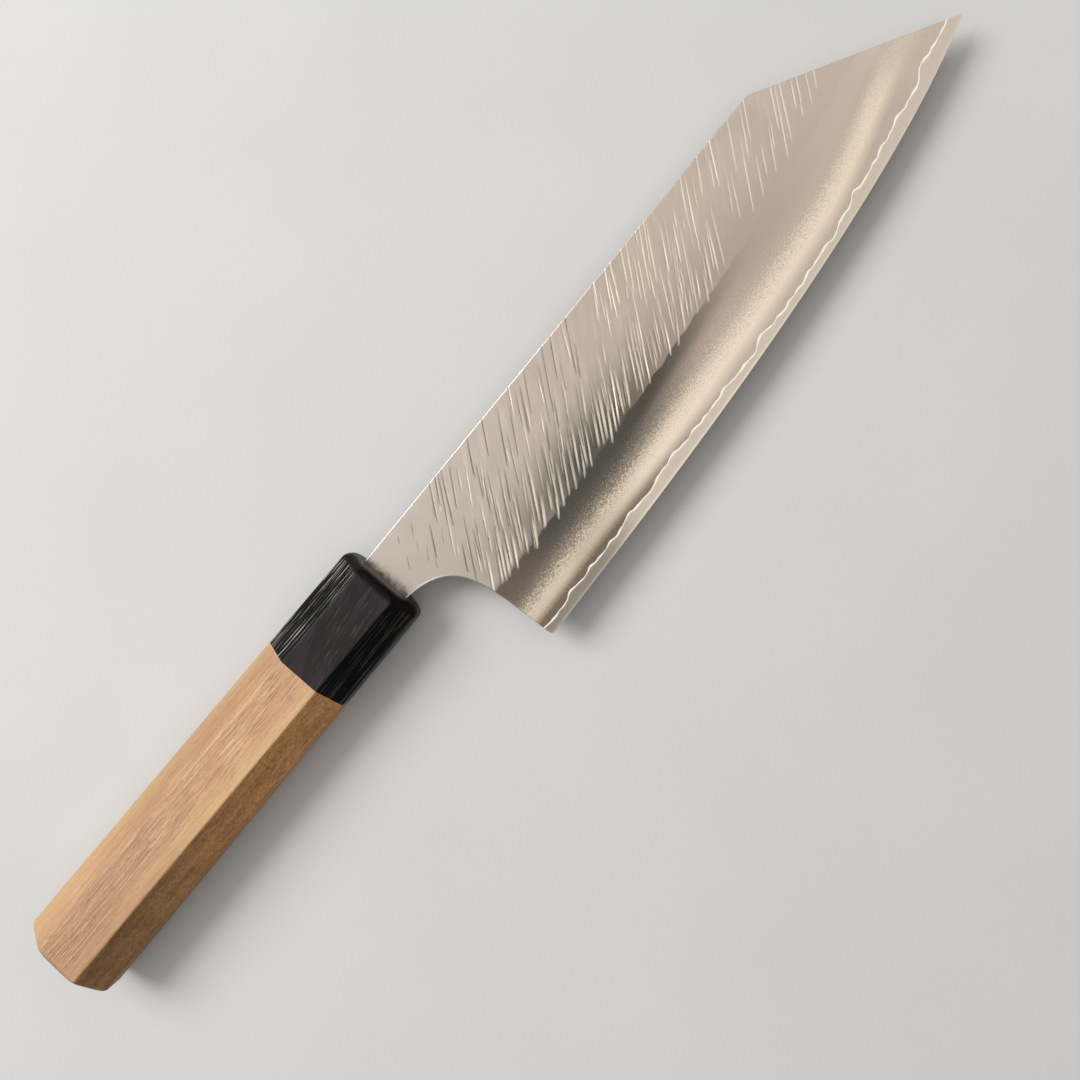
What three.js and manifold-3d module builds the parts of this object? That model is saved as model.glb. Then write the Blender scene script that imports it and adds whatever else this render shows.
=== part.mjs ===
// A bunka kitchen knife lying on its side: a laminated blade on a hidden tang, set in a straight
// octagonal handle of two pieces. Millimetres; +X from the butt to the tip, +Y to the spine,
// +Z up out of the blade's right face. The plan is drawn from the middle of the ferrule's front face.
import * as THREE from 'three';
import { mergeVertices } from 'three/addons/utils/BufferGeometryUtils.js';
import Module from 'manifold-3d';

// Blade, seen from its side
const EDGE_LENGTH = 172; // along the axis, heel to tip
const BLADE_HEIGHT = 46.1; // spine to edge at the heel
const HEEL_OFFSET = 16; // ferrule face to heel
const NECK_HEIGHT = 13.4;
const SPINE_RISE = 1.3; // from the ferrule to the spine's front corner
const BACK_SLOPE = 45.7; // along the axis, front corner to tip
const TIP_DROP = 26.5; // front corner down to the tip
const CORNER_ROUND = 1.5;
const HEEL_ROUND = 1.3;
const EDGE_ANGLE_HEEL = 2.5; // degrees to the axis, where the edge leaves the heel
const EDGE_ANGLE_TIP = 19.1; // degrees to the axis, where it reaches the tip
const EDGE_FLAT = 44; // reach of the nearly straight stretch at the heel
const EDGE_BELLY = 46; // reach of the curved stretch at the tip
const HEEL_LEAN = 3; // degrees, the heel's line off square
const HEEL_STRAIGHT = 9.5;
const CHOIL_REACH = 15; // how far the curve under the neck follows the heel's line
const NECK_REACH = 12.4; // how far it follows the neck
const NECK_ANGLE = 7.5; // degrees, the neck's flare at the ferrule

// Blade, through its thickness
const SPINE_AT_NECK = 2.4;
const SPINE_AT_CORNER = 1.3;
const FLAT_TAPER = 0.006; // each face's slope from the spine down to the grind
const BEVEL_AT_HEEL = 17.5; // height of the ground bevel above the edge
const BEVEL_AT_TIP = 20.5;
const BEVEL_SWELL = 0.35; // convexity of the bevel, none at 0
const EASING = 0.3; // chamfer that eases the corners of the spine, the choil and the tang
const CORE_SHARE = 0.136; // of the half thickness at the spine
const BOND_SHARE = 0.02;
// Waves that forging leaves in the core: length, share of the core
const FORGE_WAVES = [[144, 0.19], [98, -0.12], [38, -0.06], [17.9, -0.09], [12.2, 0.07]];

// Tang
const TANG_LENGTH = 88; // behind the ferrule's face
const NECK_SEAT = 4; // full neck inside the ferrule
const TANG_HEIGHT = 8;
const TANG_END_HEIGHT = 5;
const TANG_END_THICKNESS = 1.7;

// Handle
const HANDLE_LENGTH = 123.5; // ferrule face to the middle of the butt
const FERRULE_LENGTH = 29.8;
const FRONT_HEIGHT = 22.9;
const BUTT_HEIGHT = 24.8;
const FRONT_THICKNESS = 18.5;
const BUTT_THICKNESS = 21;
const FRONT_BEVEL = 6.2; // run of the four 45 degree facets
const BUTT_BEVEL = 6.6;
const FERRULE_ROUND = 2.2;
const BUTT_ROUND = 1.6;
const BUTT_DOME = 0.6;
const BUTT_CURVE = 1.3; // how far the end falls back from its middle to its upper and lower side
const BUTT_SLANT = 0.04; // slope of the end, which is cut shorter on the spine's side

// What is hidden in the handle
const BEDDING_WALL = 0.5; // resin round the tang
const DOWEL_WALL = 1.2; // wood left at the corners of the dowel's slot
const DOWEL_IN_BODY = 28;
const FIT_GAP = 0.25; // glue line round every fitted piece

// Fineness of the surfaces
const ROUND_STEPS = 4;
const FACET_STEPS = 4;
const BORE_SIDES = 40;
const CHOIL_STEPS = 12;
const HEEL_STEPS = 4;
const HEEL_ROUND_STEPS = 3;
const EDGE_STEPS = 64;
const CORNER_STEPS = 3;
const BACK_STEPS = 22;
const LEAST_STEP = 0.012; // of a stretch: cross lines any closer to a mark on it are left out
const FINEST = 1e-4; // thicknesses are rounded to this
const HALVINGS = 50; // in the search for a crossing
const PAST_FACE = 1; // how far a cutting tool runs past the face that it opens

const { lerp, degToRad } = THREE.MathUtils;
const wasm = await Module();
wasm.setup();

// Corners of the blade's plan
const cornerX = HEEL_OFFSET + EDGE_LENGTH - BACK_SLOPE;
const spineY = (x) => NECK_HEIGHT / 2 + (SPINE_RISE * x) / cornerX;
const onSpine = (x) => new THREE.Vector2(x, spineY(x));
const corner = onSpine(cornerX);
const tip = new THREE.Vector2(cornerX + BACK_SLOPE, corner.y - TIP_DROP);
const heel = new THREE.Vector2(HEEL_OFFSET, spineY(HEEL_OFFSET) - BLADE_HEIGHT);
const neck = new THREE.Vector2(0, -NECK_HEIGHT / 2);

function along(start, reach, degrees) {
  const direction = new THREE.Vector2(Math.cos(degToRad(degrees)), Math.sin(degToRad(degrees)));
  return start.clone().addScaledVector(direction, reach);
}

// The cutting edge, and its height at any place along the blade
const edge = new THREE.CubicBezierCurve(
  heel,
  along(heel, EDGE_FLAT, EDGE_ANGLE_HEEL),
  along(tip, -EDGE_BELLY, EDGE_ANGLE_TIP),
  tip,
);

// Where a falling function of one number crosses zero
function crossing(fall, low, high) {
  for (let i = 0; i < HALVINGS; i += 1) {
    const middle = (low + high) / 2;
    if (fall(middle) > 0) low = middle;
    else high = middle;
  }
  return high;
}

const edgeShare = (x) => crossing((t) => x - edge.getPoint(t).x, 0, 1);

function edgeY(x) {
  if (x < heel.x) return heel.y + (x - heel.x) * Math.tan(degToRad(EDGE_ANGLE_HEEL));
  return edge.getPoint(edgeShare(x)).y;
}

// The outline below the blade runs neck, choil, heel, edge; the one above runs spine, corner, back slope.
// Each stretch pairs a piece of the lower outline with a piece of the upper one.
const upHeel = 90 + HEEL_LEAN;
const heelTop = along(heel, HEEL_STRAIGHT, upHeel);
const heelFoot = along(heel, HEEL_ROUND, upHeel);
const choil = new THREE.CubicBezierCurve(
  neck,
  along(neck, NECK_REACH, -NECK_ANGLE),
  along(heelTop, CHOIL_REACH, upHeel),
  heelTop,
);
const edgeStart = edgeShare(heel.x + HEEL_ROUND);
const edgeUnderCorner = edgeShare(cornerX - 2 * CORNER_ROUND);
const edgePastCorner = edgeShare(cornerX + CORNER_ROUND);
const heelCurve = new THREE.QuadraticBezierCurve(heelFoot, heel, edge.getPoint(edgeStart));
const slope = tip.clone().sub(corner).normalize();
const cornerEnd = corner.clone().addScaledVector(slope, CORNER_ROUND);
const cornerCurve = new THREE.QuadraticBezierCurve(onSpine(cornerX - CORNER_ROUND), corner, cornerEnd);

const curve = (path) => (t) => path.getPoint(t);
const line = (from, to) => (t) => from.clone().lerp(to, t);
const spine = (from, to) => (t) => onSpine(lerp(from, to, t));
const edgePart = (from, to) => (t) => edge.getPoint(lerp(from, to, t));

// The cross lines that end on the heel fan out along the spine, ahead of it
const overHeel = heel.x + HEEL_STRAIGHT;
const overHeelRound = overHeel + 3 * HEEL_ROUND;

const stretches = [
  [curve(choil), spine(0, heel.x), CHOIL_STEPS],
  [line(heelTop, heelFoot), spine(heel.x, overHeel), HEEL_STEPS],
  [curve(heelCurve), spine(overHeel, overHeelRound), HEEL_ROUND_STEPS],
  [edgePart(edgeStart, edgeUnderCorner), spine(overHeelRound, cornerX - CORNER_ROUND), EDGE_STEPS],
  [edgePart(edgeUnderCorner, edgePastCorner), curve(cornerCurve), CORNER_STEPS],
  [edgePart(edgePastCorner, 1), line(cornerEnd, tip), BACK_STEPS],
];
const HEEL_STRETCHES = 3; // how many of them lie behind the edge

// A cross line of the blade at u: its whole part picks the stretch, its fraction the place in it
function crossLine(u) {
  const k = Math.min(Math.floor(u), stretches.length - 1);
  const [lower, upper] = stretches[k];
  return { low: lower(u - k), high: upper(u - k) };
}

// Half thicknesses. Steel drawn out under the hammer thins towards the tip, all layers alike,
// and the core stays wavy, so the grind uncovers it along a wavy line.
function spineHalf(x) {
  if (x < 0) return lerp(SPINE_AT_NECK, TANG_END_THICKNESS, -x / TANG_LENGTH) / 2;
  return lerp(SPINE_AT_NECK, SPINE_AT_CORNER, x / cornerX) / 2;
}

const flatHalf = (x, y) => spineHalf(x) - FLAT_TAPER * (spineY(x) - y);
const bevelTop = (x) => edgeY(x) + lerp(BEVEL_AT_HEEL, BEVEL_AT_TIP, (x - heel.x) / EDGE_LENGTH);

function skinHalf({ x, y }) {
  if (x < 0) return spineHalf(x);
  const share = (y - edgeY(x)) / (bevelTop(x) - edgeY(x));
  if (share >= 1) return flatHalf(x, y);
  return Math.max(0, flatHalf(x, bevelTop(x)) * share * (1 + BEVEL_SWELL * (1 - share)));
}

function coreHalf({ x }) {
  const swing = FORGE_WAVES.map(([length, share]) => share * Math.sin((2 * Math.PI * x) / length));
  return CORE_SHARE * spineHalf(x) * (1 + swing.reduce((sum, wave) => sum + wave, 0));
}

const bondHalf = (p) => coreHalf(p) + BOND_SHARE * spineHalf(p.x);

// The grid that all five layers share. On each cross line a row lies where the grind meets the core,
// the bond layer and the flat, and where the eased corners start, so that neighbouring layers have
// the same corners.
const snap = (z) => Math.round(z / FINEST) * FINEST;

function rowsOf({ low, high }) {
  const at = (v) => low.clone().lerp(high, v);
  const reach = (gap) => {
    if (gap(low) <= 0) return 0;
    if (gap(high) >= 0) return 1;
    return crossing((v) => gap(at(v)), 0, 1);
  };
  const core = reach((p) => coreHalf(p) - skinHalf(p));
  const bond = reach((p) => bondHalf(p) - skinHalf(p));
  const length = Math.max(low.distanceTo(high), FINEST);
  const easing = (p, room) => Math.max(0, Math.min(EASING, room, (skinHalf(p) - bondHalf(p)) / 2));
  const lowEasing = easing(low, length);
  const eased = Math.max(bond, lowEasing / length);
  const flat = low.x < 0 ? eased : Math.max(eased, reach((p) => bevelTop(p.x) - p.y));
  const highEasing = easing(high, (1 - flat) * length);
  const sound = 1 - highEasing / length;
  return [0, core / 2, core, bond, eased, (eased + flat) / 2, flat, sound, 1].map((v) => {
    const p = at(v);
    const cutBack = (v === 0 && lowEasing) || (v === 1 && highEasing) || 0;
    const skin = snap(skinHalf(p) - cutBack);
    const half = { skin, core: Math.min(skin, snap(coreHalf(p))), bond: Math.min(skin, snap(bondHalf(p))) };
    return { x: p.x, y: p.y, ...half };
  });
}

// The row that each layer starts from
const CORE_ROW = 0;
const BOND_ROW = 2;
const CLADDING_ROW = 3;

function bladeGrid() {
  const shoulder = (NECK_HEIGHT - TANG_HEIGHT) / 2;
  const tangLine = (x, height) => {
    return { low: new THREE.Vector2(x, -height / 2), high: new THREE.Vector2(x, height / 2) };
  };
  const tang = [
    tangLine(-TANG_LENGTH, TANG_END_HEIGHT),
    tangLine(-NECK_SEAT - shoulder, TANG_HEIGHT),
    tangLine(-NECK_SEAT, NECK_HEIGHT),
  ];
  const end = stretches.length;
  const lineEnds = [coreHalf, bondHalf].flatMap((half) => [
    crossing((u) => skinHalf(crossLine(u).low) - half(crossLine(u).low), 0, HEEL_STRETCHES),
    crossing((u) => skinHalf(crossLine(u).high) - half(crossLine(u).high), end - 1, end),
  ]);
  const even = stretches.flatMap(([, , steps], k) => Array.from({ length: steps }, (_, i) => k + i / steps));
  const apart = (u) => lineEnds.every((mark) => Math.abs(u - mark) > LEAST_STEP);
  const places = [...even.filter(apart), ...lineEnds, end].sort((a, b) => a - b);
  return [...tang, ...places.map(crossLine)].map(rowsOf);
}

// A closed BufferGeometry from corners and triangles, without the triangles that have shrunk to nothing
function closedGeometry(corners, triangles) {
  const loose = new THREE.BufferGeometry();
  loose.setAttribute('position', new THREE.Float32BufferAttribute(corners.flat(), 3));
  loose.setIndex(triangles.flat());
  const merged = mergeVertices(loose);
  const kept = [];
  const index = merged.index.array;
  for (let i = 0; i < index.length; i += 3) {
    const [a, b, c] = index.slice(i, i + 3);
    if (a !== b && b !== c && c !== a) kept.push(a, b, c);
  }
  merged.setIndex(kept);
  return merged;
}

// One layer of the blade: the grid from a row upwards, between a high face and a low face
function layer(grid, firstRow, high, low) {
  const lines = grid.map((rows) => rows.slice(firstRow));
  const rowCount = lines[0].length;
  const points = lines.flat();
  const corners = [...points.map((p) => [p.x, p.y, high(p)]), ...points.map((p) => [p.x, p.y, low(p)])];
  const top = (i, j) => i * rowCount + j;
  const under = (i, j) => points.length + top(i, j);
  const triangles = [];
  const quad = (a, b, c, d) => triangles.push([a, b, c], [a, c, d]);
  for (let i = 0; i + 1 < lines.length; i += 1) {
    for (let j = 0; j + 1 < rowCount; j += 1) {
      quad(top(i, j), top(i + 1, j), top(i + 1, j + 1), top(i, j + 1));
      quad(under(i, j), under(i, j + 1), under(i + 1, j + 1), under(i + 1, j));
    }
    quad(under(i, 0), under(i + 1, 0), top(i + 1, 0), top(i, 0));
    quad(top(i, rowCount - 1), top(i + 1, rowCount - 1), under(i + 1, rowCount - 1), under(i, rowCount - 1));
  }
  for (let j = 0; j + 1 < rowCount; j += 1) {
    quad(under(0, j), top(0, j), top(0, j + 1), under(0, j + 1));
  }
  return closedGeometry(corners, triangles);
}

// Rings of equal count joined into a closed tube, each end closed by a fan to its own middle point
function loft(rings, startX, endX) {
  const count = rings[0].length;
  const corners = [...rings.flat(), [startX, 0, 0], [endX, 0, 0]];
  const triangles = [];
  for (let k = 0; k < count; k += 1) {
    const next = (k + 1) % count;
    for (let i = 0; i + 1 < rings.length; i += 1) {
      const a = i * count;
      const b = a + count;
      triangles.push([a + k, a + next, b + next], [a + k, b + next, b + k]);
    }
    const last = (rings.length - 1) * count;
    triangles.push([corners.length - 2, next, k], [corners.length - 1, last + k, last + next]);
  }
  return closedGeometry(corners, triangles);
}

// The handle's octagon at x, drawn in by an inset that keeps its facets parallel
function octagon(x, inset = 0) {
  const share = -x / HANDLE_LENGTH;
  const y = lerp(FRONT_HEIGHT, BUTT_HEIGHT, share) / 2 - inset;
  const z = lerp(FRONT_THICKNESS, BUTT_THICKNESS, share) / 2 - inset;
  const run = lerp(FRONT_BEVEL, BUTT_BEVEL, share) - inset * (2 - Math.SQRT2);
  const quarter = [[y, z - run], [y - run, z]];
  const upper = [...quarter, [run - y, z], [-y, z - run]];
  const lower = upper.map(([a, b]) => [-a, -b]);
  const corners = [...upper, ...lower];
  return corners.flatMap((from, k) => {
    const to = corners[(k + 1) % corners.length];
    const onFacet = (t) => [x, lerp(from[0], to[0], t), lerp(from[1], to[1], t)];
    return Array.from({ length: FACET_STEPS }, (_, i) => onFacet(i / FACET_STEPS));
  });
}

// Octagons round an end whose face lies at x, from the flat sides in to the face; out is -1 or 1.
// A curved end falls back with the square of the distance from its middle, a slanted one evenly.
function roundedEnd(x, radius, out, curve = 0, slant = 0) {
  return Array.from({ length: ROUND_STEPS + 1 }, (_, i) => {
    const angle = (Math.PI / 2) * (i / ROUND_STEPS);
    const inset = radius * (1 - Math.cos(angle));
    const ringX = x - out * radius * (1 - Math.sin(angle));
    const fallen = (y) => ringX - out * (curve * ((2 * y) / BUTT_HEIGHT) ** 2 + slant * y);
    return octagon(ringX, inset).map(([, y], k) => octagon(fallen(y), inset)[k]);
  });
}

// A four-sided bar along the axis, from one x to another, straight unless its far end differs
function bar(from, to, height, thickness, endHeight = height, endThickness = thickness) {
  const ring = (x, h, t) => [[x, h, -t], [x, h, t], [x, -h, t], [x, -h, -t]];
  const rings = [ring(from, height / 2, thickness / 2), ring(to, endHeight / 2, endThickness / 2)];
  return loft(rings, from, to);
}

function rod(from, to, diameter) {
  const geometry = new THREE.CylinderGeometry(diameter / 2, diameter / 2, to - from, BORE_SIDES);
  return geometry.rotateZ(Math.PI / 2).translate((from + to) / 2, 0, 0);
}

// Cuts a list of geometries out of another
function cut(geometry, ...tools) {
  const solid = (source) => {
    const bare = source.clone();
    bare.deleteAttribute('normal');
    bare.deleteAttribute('uv');
    const merged = mergeVertices(bare);
    const vertProperties = new Float32Array(merged.attributes.position.array);
    const triVerts = new Uint32Array(merged.index.array);
    return new wasm.Manifold(new wasm.Mesh({ numProp: 3, vertProperties, triVerts }));
  };
  const left = tools.reduce((rest, tool) => rest.subtract(solid(tool)), solid(geometry)).getMesh();
  const result = new THREE.BufferGeometry();
  result.setAttribute('position', new THREE.BufferAttribute(left.vertProperties, 3));
  result.setIndex(new THREE.BufferAttribute(left.triVerts, 1));
  return result;
}

// Places inside the handle, and the fitted sections that follow the tang
const frontWall = NECK_SEAT + (NECK_HEIGHT - TANG_HEIGHT) / 2 + FIT_GAP;
const around = (size) => size + 2 * FIT_GAP;
const beddingHeight = around(TANG_HEIGHT) + 2 * BEDDING_WALL;
const beddingThickness = around(SPINE_AT_NECK) + 2 * BEDDING_WALL;
const slotHeight = around(beddingHeight);
const slotThickness = around(beddingThickness);
const dowelDiameter = Math.hypot(slotHeight, slotThickness) + 2 * DOWEL_WALL;
const boreDiameter = around(dowelDiameter);
const dowelFront = -frontWall - FIT_GAP;
const dowelBack = -FERRULE_LENGTH - DOWEL_IN_BODY;
const pocketBack = -TANG_LENGTH - FIT_GAP;
const beddingBack = pocketBack - BEDDING_WALL;

// Black front piece: mouth slot for the neck, bore behind it for the dowel
function ferrule() {
  const body = loft([octagon(-FERRULE_LENGTH), ...roundedEnd(0, FERRULE_ROUND, 1)], -FERRULE_LENGTH, 0);
  const mouth = bar(-frontWall - PAST_FACE, PAST_FACE, around(NECK_HEIGHT), around(SPINE_AT_NECK));
  const bore = rod(-FERRULE_LENGTH - PAST_FACE, -frontWall, boreDiameter);
  return cut(body, mouth, bore);
}

// Wooden body: dowel bore in its front face, narrower tang hole behind, domed butt
function handleBody() {
  const butt = -HANDLE_LENGTH + BUTT_DOME;
  const end = roundedEnd(butt, BUTT_ROUND, -1, BUTT_CURVE, BUTT_SLANT).reverse();
  const rings = [...end, octagon(-FERRULE_LENGTH)];
  const body = loft(rings, -HANDLE_LENGTH, -FERRULE_LENGTH);
  const bore = rod(dowelBack - FIT_GAP, -FERRULE_LENGTH + PAST_FACE, boreDiameter);
  const tangHole = bar(beddingBack - FIT_GAP, dowelBack, slotHeight, slotThickness);
  return cut(body, bore, tangHole);
}

function dowel() {
  const slot = bar(dowelBack - PAST_FACE, dowelFront + PAST_FACE, slotHeight, slotThickness);
  return cut(rod(dowelBack, dowelFront, dowelDiameter), slot);
}

// Cured resin: a sleeve in the slot, closed behind the tang's end
function tangBedding() {
  const sleeve = bar(beddingBack, dowelFront, beddingHeight, beddingThickness);
  const tangEnd = [around(TANG_END_HEIGHT), around(TANG_END_THICKNESS)];
  const tangFront = [around(TANG_HEIGHT), around(SPINE_AT_NECK)];
  return cut(sleeve, bar(pocketBack, dowelFront + PAST_FACE, ...tangEnd, ...tangFront));
}

const knife = new THREE.Group();

function add(name, geometry, color, roughness, metalness) {
  const flat = geometry.toNonIndexed();
  flat.computeVertexNormals();
  const mesh = new THREE.Mesh(flat, new THREE.MeshStandardMaterial({ color, roughness, metalness }));
  mesh.name = name;
  knife.add(mesh);
}

const grid = bladeGrid();
add('blade_core', layer(grid, CORE_ROW, (p) => p.core, (p) => -p.core), 0xbdbbb5, 0.3, 1);
add('bond_layer_right', layer(grid, BOND_ROW, (p) => p.bond, (p) => p.core), 0xf3efe4, 0.2, 1);
add('bond_layer_left', layer(grid, BOND_ROW, (p) => -p.core, (p) => -p.bond), 0xf3efe4, 0.2, 1);
add('cladding_right', layer(grid, CLADDING_ROW, (p) => p.skin, (p) => p.bond), 0xb3aaa0, 0.45, 1);
add('cladding_left', layer(grid, CLADDING_ROW, (p) => -p.bond, (p) => -p.skin), 0xb3aaa0, 0.45, 1);
add('ferrule', ferrule(), 0x1b191c, 0.5, 0);
add('handle_body', handleBody(), 0xc59b70, 0.65, 0);
add('dowel', dowel(), 0xd8b98a, 0.7, 0);
add('tang_bedding', tangBedding(), 0xc9b27a, 0.4, 0);

// The knife's box stands centred over the origin, on Z = 0
const box = new THREE.Box3().setFromObject(knife);
const middle = box.getCenter(new THREE.Vector3());
knife.position.set(-middle.x, -middle.y, -box.min.z);

export default knife;
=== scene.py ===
"""A bunka kitchen knife: laminated blade with hammered flats, hidden tang, octagonal wooden handle.

The knife lies on its side, on the lower facet of its handle. Plans are drawn in millimetres from the
middle of the ferrule's front face: x towards the tip, y towards the spine, z up out of the right face.
"""

import bmesh
import bpy
import numpy as np
from mathutils import Matrix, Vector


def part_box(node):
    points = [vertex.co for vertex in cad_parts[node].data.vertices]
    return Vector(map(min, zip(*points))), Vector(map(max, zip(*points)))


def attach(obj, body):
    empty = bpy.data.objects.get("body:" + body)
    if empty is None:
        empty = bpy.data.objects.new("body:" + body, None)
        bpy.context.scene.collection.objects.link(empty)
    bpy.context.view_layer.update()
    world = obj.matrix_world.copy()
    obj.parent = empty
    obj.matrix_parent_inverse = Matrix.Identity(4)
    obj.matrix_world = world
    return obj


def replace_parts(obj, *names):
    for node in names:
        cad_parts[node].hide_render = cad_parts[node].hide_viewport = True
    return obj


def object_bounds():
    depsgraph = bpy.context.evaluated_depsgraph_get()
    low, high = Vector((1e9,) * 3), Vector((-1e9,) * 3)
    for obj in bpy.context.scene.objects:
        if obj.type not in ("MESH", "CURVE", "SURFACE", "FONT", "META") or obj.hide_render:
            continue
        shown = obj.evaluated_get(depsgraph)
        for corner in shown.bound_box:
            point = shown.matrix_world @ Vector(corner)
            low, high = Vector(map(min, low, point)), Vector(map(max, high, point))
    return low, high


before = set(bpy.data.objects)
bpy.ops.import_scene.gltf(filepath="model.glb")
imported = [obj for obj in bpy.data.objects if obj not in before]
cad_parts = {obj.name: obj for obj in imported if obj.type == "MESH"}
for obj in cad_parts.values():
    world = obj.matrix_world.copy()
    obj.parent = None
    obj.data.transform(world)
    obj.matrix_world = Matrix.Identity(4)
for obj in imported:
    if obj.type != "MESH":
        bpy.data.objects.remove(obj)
cad_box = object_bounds()

# Core
# The hard steel in the middle of the blade, which carries the edge. One outline, filed after forging,
# bounds every layer; the convex grind uncovers the core below a line that the hammer has left wavy,
# and it shows again as a thin stripe along the spine and the choil.
EDGE_LENGTH = 172
BLADE_HEIGHT = 46.1
HEEL_OFFSET = 16
NECK_HEIGHT = 13.4
SPINE_RISE = 1.3
BACK_SLOPE = 45.7
TIP_DROP = 26.5
CORNER_ROUND = 1.5
HEEL_ROUND = 1.3
HEEL_LEAN = np.radians(93)
HEEL_STRAIGHT = 9.5
EDGE_ANGLE_HEEL = np.radians(2.5)
EDGE_ANGLE_TIP = np.radians(19.1)
EDGE_FLAT = 44
EDGE_BELLY = 46
CHOIL_REACH = 15
NECK_REACH = 12.4
NECK_ANGLE = np.radians(-7.5)
NECK_SEAT = 4
CURVE_SAMPLES = 600

corner_x = HEEL_OFFSET + EDGE_LENGTH - BACK_SLOPE


def spine_y(x):
    """Height of the spine: half the neck at the ferrule, rising evenly to the front corner."""
    return NECK_HEIGHT / 2 + SPINE_RISE * np.maximum(x, 0) / corner_x


def bezier(*handles):
    """Points on the Bezier curve of three or four handles: each handle weighted by its binomial term."""
    t = np.linspace(0, 1, CURVE_SAMPLES)[:, None]
    binomial = {3: (1, 2, 1), 4: (1, 3, 3, 1)}[len(handles)]
    last = len(handles) - 1
    terms = [n * t**k * (1 - t) ** (last - k) for k, n in enumerate(binomial)]
    return sum(term * np.asarray(handle, float) for term, handle in zip(terms, handles))


def along(start, reach, angle):
    """The point at a reach from a start, in the direction of an angle."""
    return np.asarray(start, float) + reach * np.array([np.cos(angle), np.sin(angle)])


heel = np.array([HEEL_OFFSET, spine_y(HEEL_OFFSET) - BLADE_HEIGHT])
corner = np.array([corner_x, spine_y(corner_x)])
tip = corner + [BACK_SLOPE, -TIP_DROP]
neck = np.array([0, -NECK_HEIGHT / 2])
heel_top = along(heel, HEEL_STRAIGHT, HEEL_LEAN)
past_heel = along(heel, EDGE_FLAT, EDGE_ANGLE_HEEL)
edge_curve = bezier(heel, past_heel, along(tip, -EDGE_BELLY, EDGE_ANGLE_TIP), tip)
under_neck = along(neck, NECK_REACH, NECK_ANGLE)
choil_curve = bezier(neck, under_neck, along(heel_top, CHOIL_REACH, HEEL_LEAN), heel_top)


def edge_y(x):
    """Height of the cutting edge at x, carried on in a straight line behind the heel."""
    behind = np.minimum(x - heel[0], 0) * np.tan(EDGE_ANGLE_HEEL)
    return np.interp(x, edge_curve[:, 0], edge_curve[:, 1]) + behind


past_round = edge_curve[edge_curve[:, 0] > heel[0] + HEEL_ROUND]
heel_curve = bezier(along(heel, HEEL_ROUND, HEEL_LEAN), heel, past_round[0])
lower_outline = np.concatenate([[neck - [NECK_SEAT, 0]], choil_curve, heel_curve, past_round[1:]])
slope = (tip - corner) / np.linalg.norm(tip - corner)
before_corner = np.array([corner_x - CORNER_ROUND, spine_y(corner_x - CORNER_ROUND)])
corner_curve = bezier(before_corner, corner, corner + CORNER_ROUND * slope)
upper_outline = np.concatenate([[[-NECK_SEAT, NECK_HEIGHT / 2]], corner_curve, [tip]])

SPINE_AT_NECK = 2.4
SPINE_AT_CORNER = 1.3
FLAT_TAPER = 0.006
BEVEL_AT_HEEL = 17.5
BEVEL_AT_TIP = 20.5
BEVEL_SWELL = 0.35
GRIND_REACH = 1.6
CORE_SHARE = 0.136
# Of each wave and zigzag of the core its length, of each kink its place, then a share of the thickness.
FORGE_WAVES = ((144, 0.19), (98, -0.12), (38, -0.06), (17.9, -0.09), (12.2, 0.06))
FORGE_ZIGZAGS = ((6.6, 0.045), (4.1, 0.024), (2.6, 0.011))
FORGE_KINKS = ((28, -0.12), (51.5, -0.12), (100.5, 0.16), (139.5, 0.18), (170.5, 0.16))
KINK_REACH = 1.8
KEEN = 0.008
TANG_LENGTH = 88
TANG_HEIGHT = 8
TANG_END_HEIGHT = 5
TANG_END_THICKNESS = 1.7


def spine_half(x):
    """Half thickness at the spine: linear from the neck to the front corner, and back along the tang."""
    ahead = SPINE_AT_NECK + (SPINE_AT_CORNER - SPINE_AT_NECK) * x / corner_x
    behind = SPINE_AT_NECK + (SPINE_AT_NECK - TANG_END_THICKNESS) * x / TANG_LENGTH
    return np.where(x < 0, behind, ahead) / 2


def bevel_height(x):
    """Height of the ground bevel above the edge, growing evenly from heel to tip."""
    return BEVEL_AT_HEEL + (BEVEL_AT_TIP - BEVEL_AT_HEEL) * (x - heel[0]) / EDGE_LENGTH


def flat_half(x, y):
    """Half thickness of the flats: the spine's, less a slight taper towards the edge."""
    return spine_half(x) - np.where(x < 0, 0, FLAT_TAPER) * (spine_y(x) - y)


def grind_half(x, y):
    """Half thickness that the grind leaves: a parabola over the height above the edge.

    From a reach above the bevel on, where it has passed the flats, it is held level.
    """
    share = np.clip((y - edge_y(x)) / bevel_height(x), 0, GRIND_REACH)
    swell = share * (1 + BEVEL_SWELL * (1 - share))
    ground = flat_half(x, edge_y(x) + bevel_height(x)) * swell
    return np.where(x < 0, 2 * spine_half(x), np.maximum(ground, KEEN))


def core_half(x):
    """Half thickness of the core: a share of the spine's, with waves, zigzags and sharp kinks on it.

    The waves are sines, a zigzag is the arcsine of one. A kink is a falling and a rising bump side by
    side: the distance from its middle times a bell curve.
    """
    waves = sum(share * np.sin(2 * np.pi * x / length) for length, share in FORGE_WAVES)
    for length, share in FORGE_ZIGZAGS:
        waves = waves + share * np.arcsin(np.sin(2 * np.pi * x / length))
    for place, share in FORGE_KINKS:
        off = (x - place) / KINK_REACH
        waves = waves + share * off * np.exp(0.5 - off**2 / 2)
    return CORE_SHARE * spine_half(x) * (1 + waves)


# Every layer is drawn on the same cross lines, which lean as the hammer strokes do. The tang's lines
# stand upright, and those of the neck fan out between.
STROKE_LEAN = np.radians(51)
FAN_LINES = 50
LINE_STEP = 0.125
HALVINGS = 40

lean = np.array([np.cos(STROKE_LEAN), np.sin(STROKE_LEAN)])
across = np.array([lean[1], -lean[0]])


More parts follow.
